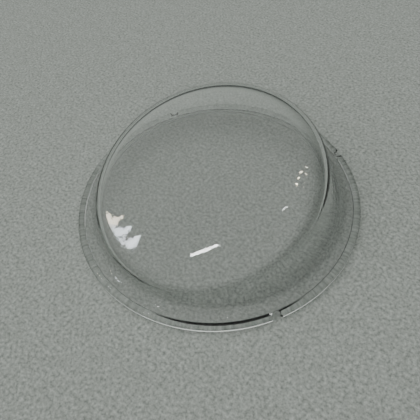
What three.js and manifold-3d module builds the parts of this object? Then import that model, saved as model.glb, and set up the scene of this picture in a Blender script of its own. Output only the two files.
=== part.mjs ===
// Door glass of a front-loading washing machine: one piece of clear pressed glass.
// It lies mouth down on its rim. The rim flares into a steep wall, which rises to a slanted,
// slightly domed face, so the bowl is deep towards +Y and shallow towards -Y. The rim ends in a
// round bead with three locating notches. Lengths are millimetres, angles are degrees, +Z is up.
import * as THREE from 'three';
import { LoftGeometry } from 'three/addons/geometries/LoftGeometry.js';
import { mergeVertices } from 'three/addons/utils/BufferGeometryUtils.js';
import Module from 'manifold-3d';

// Rim: a round bead with a flat seat under it, and a groove between the bead and the flare
const RIM_RADIUS = 165;
const BEAD_RADIUS = 4.5;
const BEAD_END_ANGLE = 123; // where the bead runs into the groove, from the outward direction
const GROOVE_RADIUS = 157.4;
const GROOVE_HEIGHT = 7.6;
const GROOVE_BLEND_RADIUS = 1.5;
const SEAT_WIDTH = 2;
const MOUTH_SLOPE = 66; // steepness of the short step from the seat up to the hollow
const MOUTH_BLEND_RADIUS = 0.8;

// Bowl, outer skin
const FLARE_END_RADIUS = 152.5; // where the flare has turned level
const FLARE_RADIUS = 12;
const FACE_RADIUS = 124.8; // sharp edge of the slanted face, before its shoulder is rounded
const FACE_OFFSET = -14.1; // centre of the slanted face along Y
const FACE_HEIGHT = 67.1; // slanted face over the axis
const FACE_SLOPE = 14.8;
const FACE_CROWN = 3; // rise of the slightly domed face over its own edge
const SHOULDER_RADIUS_DEEP = 24;
const SHOULDER_RADIUS_SHALLOW = 17;
const GLASS_THICKNESS = 5;
const FLARE_END_THICKNESS = 4.2; // the glass thins along the flare

// Locating notches in the bead
const NOTCH_RADIUS = 5;
const NOTCH_ANGLES = [60, 150, 330];
const NOTCH_SIDES = 24;

// Fineness of the faceted solid
const MERIDIANS = 96;
const CROWN_STEPS = 4;
const SHOULDER_STEPS = 7;
const FLARE_STEPS = 5;
const BLEND_STEPS = 2;
const BEAD_STEPS = 10;
const CROWN_DISC_RADIUS = 6; // the loft closes with a small disc over the axis

const CUT_MARGIN = 2; // how far a cutter reaches past the face it opens

const BEAD_CENTRE_RADIUS = RIM_RADIUS - BEAD_RADIUS; // also the outer edge of the flat seat
const SEAT_INNER_RADIUS = BEAD_CENTRE_RADIUS - SEAT_WIDTH;
const radians = THREE.MathUtils.degToRad;
const point = (radius, height) => new THREE.Vector2(radius, height);
const onArc = (centre, radius, angle) =>
  point(centre.x + radius * Math.cos(angle), centre.y + radius * Math.sin(angle));

// Points of the arc that rounds the corner between two straight lines and touches both.
function roundedCorner(before, corner, after, radius, steps) {
  const back = before.clone().sub(corner).normalize();
  const ahead = after.clone().sub(corner).normalize();
  const halfAngle = Math.acos(back.dot(ahead)) / 2;
  const start = corner.clone().addScaledVector(back, radius / Math.tan(halfAngle));
  const toCentre = back.clone().add(ahead).normalize();
  const centre = corner.clone().addScaledVector(toCentre, radius / Math.sin(halfAngle));
  const turn = (Math.PI - 2 * halfAngle) * Math.sign(ahead.cross(back));
  const points = [];
  for (let step = 0; step <= steps; step++) {
    points.push(start.clone().rotateAround(centre, (turn * step) / steps));
  }
  return points;
}

// Sharp edge of the slanted face in the half plane at the given azimuth.
function faceEdge(azimuth) {
  const towardsDeepSide = Math.sin(azimuth);
  const sideways = FACE_OFFSET * Math.cos(azimuth);
  const radius = FACE_OFFSET * towardsDeepSide + Math.sqrt(FACE_RADIUS ** 2 - sideways ** 2);
  const slope = Math.tan(radians(FACE_SLOPE));
  return point(radius, FACE_HEIGHT + slope * radius * towardsDeepSide);
}

// Flare that takes over from the straight wall, which touches it, and turns it level.
function flareBelow(edge) {
  const centre = point(FLARE_END_RADIUS, GROOVE_HEIGHT + FLARE_RADIUS);
  const toEdge = edge.clone().sub(centre);
  const start = toEdge.angle() + Math.acos(FLARE_RADIUS / toEdge.length());
  const points = [];
  for (let step = 0; step <= FLARE_STEPS; step++) {
    const angle = THREE.MathUtils.lerp(start, 1.5 * Math.PI, step / FLARE_STEPS);
    points.push(onArc(centre, FLARE_RADIUS, angle));
  }
  return points;
}

// Rise of the domed face at a fraction of the way from the axis to its edge.
function crownRise(fraction) {
  return fraction < 1 ? FACE_CROWN * (1 - fraction ** 2) ** 2 : 0;
}

// Outer skin in one half plane: face, shoulder, straight wall and flare.
function outerSkin(azimuth) {
  const crown = point(0, FACE_HEIGHT);
  const edge = faceEdge(azimuth);
  const flare = flareBelow(edge);
  const deepShare = (1 + Math.sin(azimuth)) / 2;
  const radius = THREE.MathUtils.lerp(SHOULDER_RADIUS_SHALLOW, SHOULDER_RADIUS_DEEP, deepShare);
  const shoulder = roundedCorner(crown, edge, flare[0], radius, SHOULDER_STEPS);
  const discEdge = crown.clone().lerp(shoulder[0], CROWN_DISC_RADIUS / shoulder[0].x);
  const face = [];
  for (let step = 0; step < CROWN_STEPS; step++) {
    face.push(discEdge.clone().lerp(shoulder[0], step / CROWN_STEPS));
  }
  const skin = [...face, ...shoulder, ...flare];
  for (const place of skin) {
    place.y += crownRise(place.x / edge.x);
  }
  return skin;
}

// The skin moved inwards by the thickness of the glass, square to the skin, in the same half plane.
function offsetInwards(skin) {
  return skin.map((place, index) => {
    const before = skin[Math.max(index - 1, 0)];
    const after = skin[Math.min(index + 1, skin.length - 1)];
    const along = after.clone().sub(before).normalize();
    const alongFlare = Math.max(index + 1 + FLARE_STEPS - skin.length, 0) / FLARE_STEPS;
    const thickness = THREE.MathUtils.lerp(GLASS_THICKNESS, FLARE_END_THICKNESS, alongFlare);
    return place.clone().add(point(along.y, -along.x).multiplyScalar(thickness));
  });
}

// Groove and round bead of the rim down to its flat seat, the same in every half plane.
function rimProfile() {
  const centre = point(BEAD_CENTRE_RADIUS, BEAD_RADIUS);
  const bead = [];
  for (let step = 0; step <= BEAD_STEPS; step++) {
    const degrees = THREE.MathUtils.lerp(BEAD_END_ANGLE, -90, step / BEAD_STEPS);
    bead.push(onArc(centre, BEAD_RADIUS, radians(degrees)));
  }
  const flareEnd = point(FLARE_END_RADIUS, GROOVE_HEIGHT);
  const corner = point(GROOVE_RADIUS, GROOVE_HEIGHT);
  const groove = roundedCorner(flareEnd, corner, bead[0], GROOVE_BLEND_RADIUS, BLEND_STEPS);
  return [...groove, ...bead];
}

// Wall of the hollow in one half plane, from the crown down through the level of the seat.
function hollowSkin(azimuth) {
  const skin = offsetInwards(outerSkin(azimuth));
  const seatEdge = point(SEAT_INNER_RADIUS, 0);
  const ceiling = GROOVE_HEIGHT - FLARE_END_THICKNESS;
  const corner = point(SEAT_INNER_RADIUS - ceiling / Math.tan(radians(MOUTH_SLOPE)), ceiling);
  const step = roundedCorner(skin.at(-1), corner, seatEdge, MOUTH_BLEND_RADIUS, BLEND_STEPS);
  return [...skin, ...step, seatEdge, seatEdge.clone().setY(-CUT_MARGIN)];
}

// Closed shape lofted through level rings, from a section given for each half plane.
function loftAroundAxis(sectionAt) {
  const sections = [];
  for (let index = 0; index < MERIDIANS; index++) {
    const azimuth = (-2 * Math.PI * index) / MERIDIANS;
    const inSpace = (place) =>
      new THREE.Vector3(place.x * Math.cos(azimuth), place.x * Math.sin(azimuth), place.y);
    sections.push(sectionAt(azimuth).map(inSpace));
  }
  const rings = sections[0].map((_, row) => sections.map((section) => section[row]));
  return new LoftGeometry(rings, { capStart: true, capEnd: true });
}

// Upright round cutter that leaves one rounded notch in the edge of the rim.
function notchCutter(azimuth) {
  const height = 4 * BEAD_RADIUS;
  const cutter = new THREE.CylinderGeometry(NOTCH_RADIUS, NOTCH_RADIUS, height, NOTCH_SIDES);
  cutter.rotateX(Math.PI / 2);
  cutter.translate(RIM_RADIUS * Math.cos(azimuth), RIM_RADIUS * Math.sin(azimuth), BEAD_RADIUS);
  return cutter;
}

function toSolid(geometry) {
  const bare = new THREE.BufferGeometry().copy(geometry);
  const welded = mergeVertices(bare.deleteAttribute('normal').deleteAttribute('uv'));
  const mesh = new wasm.Mesh({
    numProp: 3,
    vertProperties: welded.attributes.position.array,
    triVerts: new Uint32Array(welded.index.array),
  });
  return new wasm.Manifold(mesh);
}

function toGeometry(solid) {
  const mesh = solid.getMesh();
  const geometry = new THREE.BufferGeometry();
  geometry.setAttribute('position', new THREE.BufferAttribute(mesh.vertProperties, 3));
  geometry.setIndex(new THREE.BufferAttribute(mesh.triVerts, 1));
  geometry.computeVertexNormals();
  return geometry;
}

function notchedGlass() {
  const outside = loftAroundAxis((azimuth) => [...outerSkin(azimuth), ...rimProfile()]);
  let solid = toSolid(outside).subtract(toSolid(loftAroundAxis(hollowSkin)));
  for (const degrees of NOTCH_ANGLES) {
    solid = solid.subtract(toSolid(notchCutter(radians(degrees))));
  }
  return toGeometry(solid);
}

const wasm = await Module();
wasm.setup();

const clearGlass = new THREE.MeshStandardMaterial({ color: 0xd9e6df, roughness: 0.04, metalness: 0 });
const doorGlass = new THREE.Mesh(notchedGlass(), clearGlass);
doorGlass.name = 'door_glass';

const group = new THREE.Group();
group.add(doorGlass);

export default group;
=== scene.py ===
"""Looks of the washing machine door glass: clear pressed glass, mouth down on pale grey cloth."""

import math

import bmesh
import bpy
from mathutils import Matrix, Vector


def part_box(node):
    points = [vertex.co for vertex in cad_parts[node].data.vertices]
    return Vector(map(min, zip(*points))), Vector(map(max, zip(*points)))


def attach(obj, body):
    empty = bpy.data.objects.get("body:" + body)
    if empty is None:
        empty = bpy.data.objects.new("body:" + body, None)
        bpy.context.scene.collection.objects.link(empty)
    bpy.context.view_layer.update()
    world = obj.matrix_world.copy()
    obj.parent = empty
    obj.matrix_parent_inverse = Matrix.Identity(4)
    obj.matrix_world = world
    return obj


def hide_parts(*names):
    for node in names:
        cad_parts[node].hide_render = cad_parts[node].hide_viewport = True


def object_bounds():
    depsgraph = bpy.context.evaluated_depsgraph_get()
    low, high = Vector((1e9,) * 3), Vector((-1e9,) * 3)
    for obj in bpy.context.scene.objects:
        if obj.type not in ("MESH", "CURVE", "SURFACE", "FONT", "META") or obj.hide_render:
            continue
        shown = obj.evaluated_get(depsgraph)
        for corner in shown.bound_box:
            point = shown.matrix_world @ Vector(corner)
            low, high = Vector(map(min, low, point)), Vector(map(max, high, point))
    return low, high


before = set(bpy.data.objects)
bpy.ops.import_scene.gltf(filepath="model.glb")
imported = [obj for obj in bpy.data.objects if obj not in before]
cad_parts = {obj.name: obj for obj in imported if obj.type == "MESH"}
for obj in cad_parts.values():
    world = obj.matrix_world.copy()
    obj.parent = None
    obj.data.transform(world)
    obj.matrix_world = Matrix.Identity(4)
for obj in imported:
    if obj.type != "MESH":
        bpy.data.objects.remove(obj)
cad_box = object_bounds()

# ---------------------------------------------------------------- shape
# Same design values as the CAD part, in metres and degrees; slopes are tangents.
CAD_LOW, CAD_HIGH = (Vector(corner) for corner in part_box("door_glass"))
RIM_RADIUS = (CAD_HIGH.x - CAD_LOW.x) / 2
MM = RIM_RADIUS / 165  # one design millimetre at the frame's size

BEAD_RADIUS = 4.5 * MM
BEAD_END_ANGLE = 123
BEAD_CENTRE_RADIUS = RIM_RADIUS - BEAD_RADIUS
GROOVE_RADIUS = 157.4 * MM
GROOVE_HEIGHT = 7.6 * MM
GROOVE_BLEND = 1.5 * MM
SEAT_WIDTH = 2 * MM
MOUTH_SLOPE = math.tan(math.radians(66))
MOUTH_BLEND = 0.8 * MM
SEAT_EDGE_BLEND = 0.4 * MM

FLARE_END_RADIUS = 152.5 * MM
FLARE_RADIUS = 12 * MM
FACE_RADIUS = 124.8 * MM
FACE_OFFSET = -14.1 * MM
FACE_HEIGHT = 67.1 * MM
FACE_SLOPE = math.tan(math.radians(14.8))
FACE_CROWN = 3 * MM
SHOULDER_RADIUS_DEEP = 24 * MM
SHOULDER_RADIUS_SHALLOW = 17 * MM
GLASS_THICKNESS = 5 * MM
FLARE_END_THICKNESS = 4.2 * MM

NOTCH_ANGLES = (60, 150, 330)
NOTCH_DEPTH = 5 * MM
NOTCH_HALF_WIDTH = 5.4 * MM
NOTCH_ROUNDNESS = 2.4  # 2 is a parabola, more is a squarer notch
SQUEEZE_START_RADIUS = 157.6 * MM  # the rim outside this is squeezed inwards to leave a notch

# Fineness of the mesh
MERIDIAN_STEP = 1.0
NOTCH_MERIDIAN_STEP = 0.1
FACE_STEPS = 24
SHOULDER_STEPS = 18
WALL_STEPS = 14
FLARE_STEPS = 16
BLEND_STEPS = 4
BEAD_STEPS = 24
VALLEY_STEPS = 3


def rounded_corner(before, corner, after, radius, steps):
    """Points of the arc that rounds a corner between two straight lines."""
    back = (before - corner).normalized()
    ahead = (after - corner).normalized()
    half_angle = math.acos(back.dot(ahead)) / 2
    start = corner + back * (radius / math.tan(half_angle))
    centre = corner + (back + ahead).normalized() * (radius / math.sin(half_angle))
    turn = math.copysign(math.pi - 2 * half_angle, ahead.cross(back))
    arm = start - centre
    points = []
    for step in range(steps + 1):
        angle = turn * step / steps
        cos, sin = math.cos(angle), math.sin(angle)
        points.append(centre + Vector((arm.x * cos - arm.y * sin, arm.x * sin + arm.y * cos)))
    return points


def between(start, end, steps):
    """Points strictly between two points, evenly spaced."""
    return [start.lerp(end, step / steps) for step in range(1, steps)]


def crown_rise(fraction):
    """Rise of the domed face at a fraction of the way from the axis to its edge."""
    return FACE_CROWN * (1 - fraction**2) ** 2 if fraction < 1 else 0


def outer_skin(azimuth):
    """Outer skin in one half plane: face, shoulder, wall and the flare that turns it level."""
    deep = math.sin(azimuth)
    sideways = FACE_OFFSET * math.cos(azimuth)
    edge_radius = FACE_OFFSET * deep + math.sqrt(FACE_RADIUS**2 - sideways**2)
    crown = Vector((0, FACE_HEIGHT))
    edge = Vector((edge_radius, FACE_HEIGHT + FACE_SLOPE * edge_radius * deep))
    flare_centre = Vector((FLARE_END_RADIUS, GROOVE_HEIGHT + FLARE_RADIUS))
    to_edge = edge - flare_centre
    tangent = math.atan2(to_edge.y, to_edge.x) + math.acos(FLARE_RADIUS / to_edge.length)
    flare = []
    for step in range(FLARE_STEPS + 1):
        angle = tangent + (1.5 * math.pi - tangent) * step / FLARE_STEPS
        flare.append(flare_centre + Vector((math.cos(angle), math.sin(angle))) * FLARE_RADIUS)
    share = (1 + deep) / 2
    radius = SHOULDER_RADIUS_SHALLOW * (1 - share) + SHOULDER_RADIUS_DEEP * share
    shoulder = rounded_corner(crown, edge, flare[0], radius, SHOULDER_STEPS)
    face = [crown] + between(crown, shoulder[0], FACE_STEPS)
    skin = face + shoulder + between(shoulder[-1], flare[0], WALL_STEPS) + flare
    return [Vector((p.x, p.y + crown_rise(p.x / edge_radius))) for p in skin]


def offset_inwards(skin):
    """The skin moved inwards by the glass thickness, which shrinks along the flare."""
    moved = []
    for index, place in enumerate(skin):
        before = skin[max(index - 1, 0)]
        after = skin[min(index + 1, len(skin) - 1)]
        along = (after - before).normalized()
        along_flare = max(index + 1 + FLARE_STEPS - len(skin), 0) / FLARE_STEPS
        thickness = GLASS_THICKNESS * (1 - along_flare) + FLARE_END_THICKNESS * along_flare
        moved.append(place + Vector((along.y, -along.x)) * thickness)
    moved[0].x = 0
    return moved


def on_bead(degrees):
    """Point of the round bead at an angle counted from the outward direction."""
    angle = math.radians(degrees)
    out, up = math.cos(angle), 1 + math.sin(angle)
    return Vector((BEAD_CENTRE_RADIUS + BEAD_RADIUS * out, BEAD_RADIUS * up))


def rim_profile():
    """Groove, round bead, flat seat and the short step up to the hollow."""
    flare_end = Vector((FLARE_END_RADIUS, GROOVE_HEIGHT))
    groove = Vector((GROOVE_RADIUS, GROOVE_HEIGHT))
    valley = rounded_corner(flare_end, groove, on_bead(BEAD_END_ANGLE), GROOVE_BLEND, BLEND_STEPS)
    turn = -90 - BEAD_END_ANGLE
    bead = [on_bead(BEAD_END_ANGLE + turn * step / BEAD_STEPS) for step in range(BEAD_STEPS + 1)]
    ceiling = GROOVE_HEIGHT - FLARE_END_THICKNESS
    seat_edge = Vector((BEAD_CENTRE_RADIUS - SEAT_WIDTH, 0))
    step_top = Vector((seat_edge.x - ceiling / MOUTH_SLOPE, ceiling))
    hollow_end = Vector((FLARE_END_RADIUS, ceiling))
    seat_corner = rounded_corner(bead[-1], seat_edge, step_top, SEAT_EDGE_BLEND, BLEND_STEPS)
    mouth = rounded_corner(seat_edge, step_top, hollow_end, MOUTH_BLEND, BLEND_STEPS)
    return between(flare_end, valley[0], VALLEY_STEPS) + valley + bead + seat_corner + mouth


def section(azimuth):
    """The whole section of the glass in one half plane, from the outer crown to the inner."""
    outer = outer_skin(azimuth)
    return outer + rim_profile() + list(reversed(offset_inwards(outer)))


def meridian_angles():
    """Azimuths of the sections in degrees, denser where a notch is pressed into the rim."""
    angles = set()
    for index in range(round(360 / MERIDIAN_STEP)):
        angles.add(round(index * MERIDIAN_STEP, 3))
    reach = math.ceil(math.degrees(NOTCH_HALF_WIDTH / RIM_RADIUS) / NOTCH_MERIDIAN_STEP) + 2
    for notch in NOTCH_ANGLES:
        for index in range(-reach, reach + 1):
            angles.add(round(notch + index * NOTCH_MERIDIAN_STEP, 3))
    return sorted(angles)


def notch_depth(azimuth):
    """How far a notch reaches in from the rim at this azimuth."""
    for notch in NOTCH_ANGLES:
        across = abs(azimuth - notch) * math.radians(1) * RIM_RADIUS / NOTCH_HALF_WIDTH
        if across < 1:
            return NOTCH_DEPTH * (1 - across**NOTCH_ROUNDNESS)
    return 0


def squeezed_in(radius, depth):
    """Radius after the rim has been squeezed inwards by the depth of a notch."""
    past = max(radius - SQUEEZE_START_RADIUS, 0)
    return radius - past * depth / (RIM_RADIUS - SQUEEZE_START_RADIUS)


def build_glass():
    """One closed, smooth mesh of the whole glass."""
    bm = bmesh.new()
    first = section(0)
    outer_crown = bm.verts.new((0, 0, first[0].y))
    inner_crown = bm.verts.new((0, 0, first[-1].y))
    columns = []
    for degrees in meridian_angles():
        azimuth = math.radians(degrees)
        cos, sin = math.cos(azimuth), math.sin(azimuth)
        column = [outer_crown]
        for place in section(azimuth)[1:-1]:
            radius = squeezed_in(place.x, notch_depth(degrees))
            column.append(bm.verts.new((radius * cos, radius * sin, place.y)))
        columns.append(column + [inner_crown])
    for index, column in enumerate(columns):
        following = columns[(index + 1) % len(columns)]
        for row in range(len(column) - 1):
            corners = [column[row], column[row + 1], following[row + 1], following[row]]
            bm.faces.new(list(dict.fromkeys(corners)))
    bmesh.ops.recalc_face_normals(bm, faces=bm.faces)
    for face in bm.faces:
        face.smooth = True
    mesh = bpy.data.meshes.new("door_glass_body")
    bm.to_mesh(mesh)
    bm.free()
    glass = bpy.data.objects.new("door_glass_body", mesh)
    bpy.context.collection.objects.link(glass)
    return glass


# ---------------------------------------------------------------- materials
GLASS_IOR = 1.5
GLASS_DEPTH_COLOUR = (0.62, 0.86, 0.74)
GLASS_DEPTH_DENSITY = 5
SMEAR_TINT = (0.98, 0.988, 0.983)
SMEAR_ROUGHNESS = 0.05
RIPPLE_INNER_RADIUS = 112 * MM  # the ripple grows from here, on the flat face,
RIPPLE_OUTER_RADIUS = 128 * MM  # to here, on the wall
RIPPLE_ON_FACE = 0.03

CLOTH_DARK = (0.26, 0.28, 0.265)
CLOTH_PALE = (0.64, 0.66, 0.64)
CLOTH_WORN = (0.88, 0.88, 0.87)
WHITE = (1.0, 1.0, 1.0)
BLACK = (0.0, 0.0, 0.0)


def new_material(name):
    material = bpy.data.materials.new(name)
    material.use_nodes = True
    nodes = material.node_tree.nodes
    nodes.clear()
    return material, nodes, material.node_tree.links


def add_noise(nodes, links, coordinates, scale, detail, roughness=0.5, stretch=(1, 1, 1)):
    """Noise over the object's own coordinates; the scale is in features per metre."""
    mapping = nodes.new("ShaderNodeMapping")
    mapping.inputs["Scale"].default_value = stretch
    noise = nodes.new("ShaderNodeTexNoise")
    noise.inputs["Scale"].default_value = scale
    noise.inputs["Detail"].default_value = detail
    noise.inputs["Roughness"].default_value = roughness
    links.new(coordinates.outputs["Object"], mapping.inputs["Vector"])
    links.new(mapping.outputs["Vector"], noise.inputs["Vector"])
    return noise


def add_ramp(nodes, links, source, low, high, low_colour, high_colour):
    """Colours of a noise, blended between two of its values."""
    ramp = nodes.new("ShaderNodeValToRGB")
    first, last = ramp.color_ramp.elements
    first.position, last.position = low, high
    first.color, last.color = (*low_colour, 1), (*high_colour, 1)
    links.new(source.outputs["Fac"], ramp.inputs["Fac"])
    return ramp


def add_bump(nodes, links, height, strength, distance, below=None):
    """Bump from a height, on top of another bump if one is given."""
    bump = nodes.new("ShaderNodeBump")
    bump.inputs["Strength"].default_value = strength
    bump.inputs["Distance"].default_value = distance
    links.new(height, bump.inputs["Height"])
    if below is not None:
        links.new(below.outputs["Normal"], bump.inputs["Normal"])
    return bump


def add_growing_ripple(nodes, links, coordinates):
    """Fine ripple, faint on the face and full on the wall and the rim."""
    ripple = add_noise(nodes, links, coordinates, scale=160, detail=3, stretch=(1, 1, 0.3))
    plan = nodes.new("ShaderNodeMapping")
    plan.inputs["Scale"].default_value = (1, 1, 0)
    radius = nodes.new("ShaderNodeVectorMath")
    radius.operation = "LENGTH"
    links.new(coordinates.outputs["Object"], plan.inputs["Vector"])
    links.new(plan.outputs["Vector"], radius.inputs[0])
    outwards = nodes.new("ShaderNodeMapRange")
    outwards.inputs["From Min"].default_value = RIPPLE_INNER_RADIUS
    outwards.inputs["From Max"].default_value = RIPPLE_OUTER_RADIUS
    outwards.inputs["To Min"].default_value = RIPPLE_ON_FACE
    links.new(radius.outputs["Value"], outwards.inputs["Value"])
    growing = nodes.new("ShaderNodeMath")
    growing.operation = "MULTIPLY"
    links.new(ripple.outputs["Fac"], growing.inputs[0])
    links.new(outwards.outputs["Result"], growing.inputs[1])
    return growing


def glass_material():
    """Clear pressed glass: slow waves of the pressing, faint smears, green in its depth."""
    material, nodes, links = new_material("clear_pressed_glass")
    coordinates = nodes.new("ShaderNodeTexCoord")
    waves = add_noise(nodes, links, coordinates, scale=22, detail=2)
    ripple = add_growing_ripple(nodes, links, coordinates)
    smears = add_noise(nodes, links, coordinates, scale=45, detail=6, stretch=(1, 0.4, 1))
    shader = nodes.new("ShaderNodeBsdfPrincipled")
    shader.inputs["Transmission Weight"].default_value = 1
    shader.inputs["IOR"].default_value = GLASS_IOR
    tint = add_ramp(nodes, links, smears, 0.4, 0.75, WHITE, SMEAR_TINT)
    haze = add_ramp(nodes, links, smears, 0.52, 0.8, BLACK, (SMEAR_ROUGHNESS,) * 3)
    waviness = add_bump(nodes, links, waves.outputs["Fac"], strength=0.12, distance=0.0006)
    height = ripple.outputs["Value"]
    surface = add_bump(nodes, links, height, strength=0.3, distance=0.0003, below=waviness)
    links.new(tint.outputs["Color"], shader.inputs["Base Color"])
    links.new(haze.outputs["Color"], shader.inputs["Roughness"])
    links.new(surface.outputs["Normal"], shader.inputs["Normal"])
    depth = nodes.new("ShaderNodeVolumeAbsorption")
    depth.inputs["Color"].default_value = (*GLASS_DEPTH_COLOUR, 1)
    depth.inputs["Density"].default_value = GLASS_DEPTH_DENSITY
    output = nodes.new("ShaderNodeOutputMaterial")
    links.new(shader.outputs["BSDF"], output.inputs["Surface"])
    links.new(depth.outputs["Volume"], output.inputs["Volume"])
    return material


def floor_material():
    """Pale grey cloth with short felted fibres."""
    material, nodes, links = new_material("grey_cloth")
    coordinates = nodes.new("ShaderNodeTexCoord")
    fibres = add_noise(nodes, links, coordinates, scale=300, detail=5, roughness=0.7)
    blotches = add_noise(nodes, links, coordinates, scale=60, detail=8, roughness=0.7)
    shader = nodes.new("ShaderNodeBsdfPrincipled")
    shader.inputs["Roughness"].default_value = 0.95
    shader.inputs["Specular IOR Level"].default_value = 0.2
    grain = add_ramp(nodes, links, fibres, 0.34, 0.66, CLOTH_DARK, CLOTH_PALE)
    wear = add_ramp(nodes, links, blotches, 0.35, 0.65, CLOTH_WORN, WHITE)
    shade = nodes.new("ShaderNodeMixRGB")
    shade.blend_type = "MULTIPLY"
    shade.inputs["Fac"].default_value = 1
    links.new(grain.outputs["Color"], shade.inputs["Color1"])
    links.new(wear.outputs["Color"], shade.inputs["Color2"])
    nap = add_bump(nodes, links, fibres.outputs["Fac"], strength=0.3, distance=0.0006)
    links.new(shade.outputs["Color"], shader.inputs["Base Color"])
    links.new(nap.outputs["Normal"], shader.inputs["Normal"])
    output = nodes.new("ShaderNodeOutputMaterial")
    links.new(shader.outputs["BSDF"], output.inputs["Surface"])
    return material


# ---------------------------------------------------------------- stage
FLOOR_REACH = 120 * RIM_RADIUS
FLOOR_DROP = 0.0002  # the floor lies this far under the seat, so that the two never share a plane

CAMERA_TURN = 45.5  # the camera stands this far round from the -Y side
CAMERA_ELEVATION = 53.5
CAMERA_ROLL = -7.83
CAMERA_DISTANCE = 3.14 * RIM_RADIUS
CAMERA_AIM = Vector((-0.059, -0.087, 0)) * RIM_RADIUS
FOCAL_LENGTH = 37.7
SENSOR_WIDTH = 36

SKY_BRIGHTEST = (200, 69)  # azimuth from the camera's right and elevation
SKY_DARK_BELOW = 0.2  # cosines of the angle from the brightest place
SKY_FULL_ABOVE = 0.9
SKY_HORIZON = (0.045, 0.05, 0.047)
SKY_ZENITH = (0.96, 1.0, 0.95)
SKY_STRENGTH = 1.12

# Lamps and panes; azimuth and elevation as in direction_towards
WARM_LIGHT = (1, 0.9, 0.72)
COOL_LIGHT = (0.86, 0.93, 1)
PANES = ((155.8, 50.4, WARM_LIGHT), (158.6, 52.0, COOL_LIGHT), (161.4, 53.9, COOL_LIGHT))
DOT_ROWS = 4
DOT_SIZE = 0.006
DOT_POWER = 0.012
DOT_AZIMUTH, DOT_ELEVATION = 98, 76.7
DOT_ROW_STEP = (-3.0, -0.9)
DOT_COLUMN_STEP = (1.6, -0.3)


def add_floor():
    reach = FLOOR_REACH
    mesh = bpy.data.meshes.new("floor")
    corners = [(-reach, -reach, 0), (reach, -reach, 0), (reach, reach, 0), (-reach, reach, 0)]
    mesh.from_pydata(corners, [], [(0, 1, 2, 3)])
    floor = bpy.data.objects.new("floor", mesh)
    bpy.context.collection.objects.link(floor)
    floor.data.materials.append(floor_material())
    floor.location.z = cad_box[0][2] - FLOOR_DROP


def add_camera():
    """Camera above and in front, turned about the axis, with a small roll."""
    turn = Matrix.Rotation(math.radians(CAMERA_TURN), 3, "Z")
    elevation = math.radians(CAMERA_ELEVATION)
    backwards = turn @ Vector((0, -math.cos(elevation), math.sin(elevation)))
    right = Vector((0, 0, 1)).cross(backwards).normalized()
    up = backwards.cross(right)
    roll = math.radians(CAMERA_ROLL)
    rolled_right = right * math.cos(roll) + up * math.sin(roll)
    rolled_up = up * math.cos(roll) - right * math.sin(roll)
    camera = bpy.data.objects.new("camera", bpy.data.cameras.new("camera"))
    camera.data.lens = FOCAL_LENGTH
    camera.data.sensor_width = SENSOR_WIDTH
    place = turn @ CAMERA_AIM + backwards * CAMERA_DISTANCE
    rotation = Matrix((rolled_right, rolled_up, backwards)).transposed()
    camera.matrix_world = Matrix.Translation(place) @ rotation.to_4x4()
    bpy.context.collection.objects.link(camera)
    bpy.context.scene.camera = camera


def direction_towards(azimuth, elevation):
    """Unit vector; azimuth is counted from the camera's right, anticlockwise."""
    angle, rise = math.radians(azimuth + CAMERA_TURN), math.radians(elevation)
    level = math.cos(rise)
    return Vector((math.cos(angle) * level, math.sin(angle) * level, math.sin(rise)))


def add_area_light(name, azimuth, elevation, distance, size, power, colour=WHITE, spin=0):
    """Soft light that faces the part from the given direction and distance."""
    direction = direction_towards(azimuth, elevation)
    data = bpy.data.lights.new(name, "AREA")
    data.shape = "RECTANGLE"
    data.size, data.size_y = size
    data.energy = power
    data.color = colour
    light = bpy.data.objects.new(name, data)
    light.location = direction * distance
    facing = direction.to_track_quat("Z", "Y").to_matrix()
    light.rotation_euler = (facing @ Matrix.Rotation(math.radians(spin), 3, "Z")).to_euler()
    bpy.context.collection.objects.link(light)


def add_world():
    """Pale sky, brightest high on the camera's left, that darkens towards the far horizon."""
    world = bpy.data.worlds.new("studio")
    world.use_nodes = True
    nodes, links = world.node_tree.nodes, world.node_tree.links
    coordinates = nodes.new("ShaderNodeTexCoord")
    closeness = nodes.new("ShaderNodeVectorMath")
    closeness.operation = "DOT_PRODUCT"
    closeness.inputs[1].default_value = direction_towards(*SKY_BRIGHTEST)
    ramp = nodes.new("ShaderNodeValToRGB")
    first, last = ramp.color_ramp.elements
    first.position, last.position = SKY_DARK_BELOW, SKY_FULL_ABOVE
    first.color, last.color = (*SKY_HORIZON, 1), (*SKY_ZENITH, 1)
    links.new(coordinates.outputs["Generated"], closeness.inputs[0])
    links.new(closeness.outputs["Value"], ramp.inputs["Fac"])
    links.new(ramp.outputs["Color"], nodes["Background"].inputs["Color"])
    nodes["Background"].inputs["Strength"].default_value = SKY_STRENGTH
    bpy.context.scene.world = world


def add_lights():
    """A strip lamp, a small lamp, a window's panes and two rows of dots, all high up."""
    add_area_light("strip_lamp", 166.5, 67.6, 2.04, size=(0.011, 0.19), power=0.35, spin=14)
    add_area_light("small_lamp", 120.5, 79, 2.04, size=(0.04, 0.004), power=0.013)
    for index, (azimuth, elevation, colour) in enumerate(PANES):
        name = f"high_window_{index}"
        add_area_light(name, azimuth, elevation, 2.07, (0.04, 0.12), power=0.4, colour=colour)
    for column in (-1, 1):
        for row in range(DOT_ROWS):
            name = f"lamp_dot_{column}_{row}"
            azimuth = DOT_AZIMUTH + DOT_ROW_STEP[0] * row + DOT_COLUMN_STEP[0] * column
            elevation = DOT_ELEVATION + DOT_ROW_STEP[1] * row + DOT_COLUMN_STEP[1] * column
            size = (DOT_SIZE, DOT_SIZE)
            add_area_light(name, azimuth, elevation, 2.05, size, DOT_POWER, WARM_LIGHT)


glass = build_glass()
glass.data.materials.append(glass_material())
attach(glass, "root")
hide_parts("door_glass")

add_floor()
add_camera()
add_world()
add_lights()
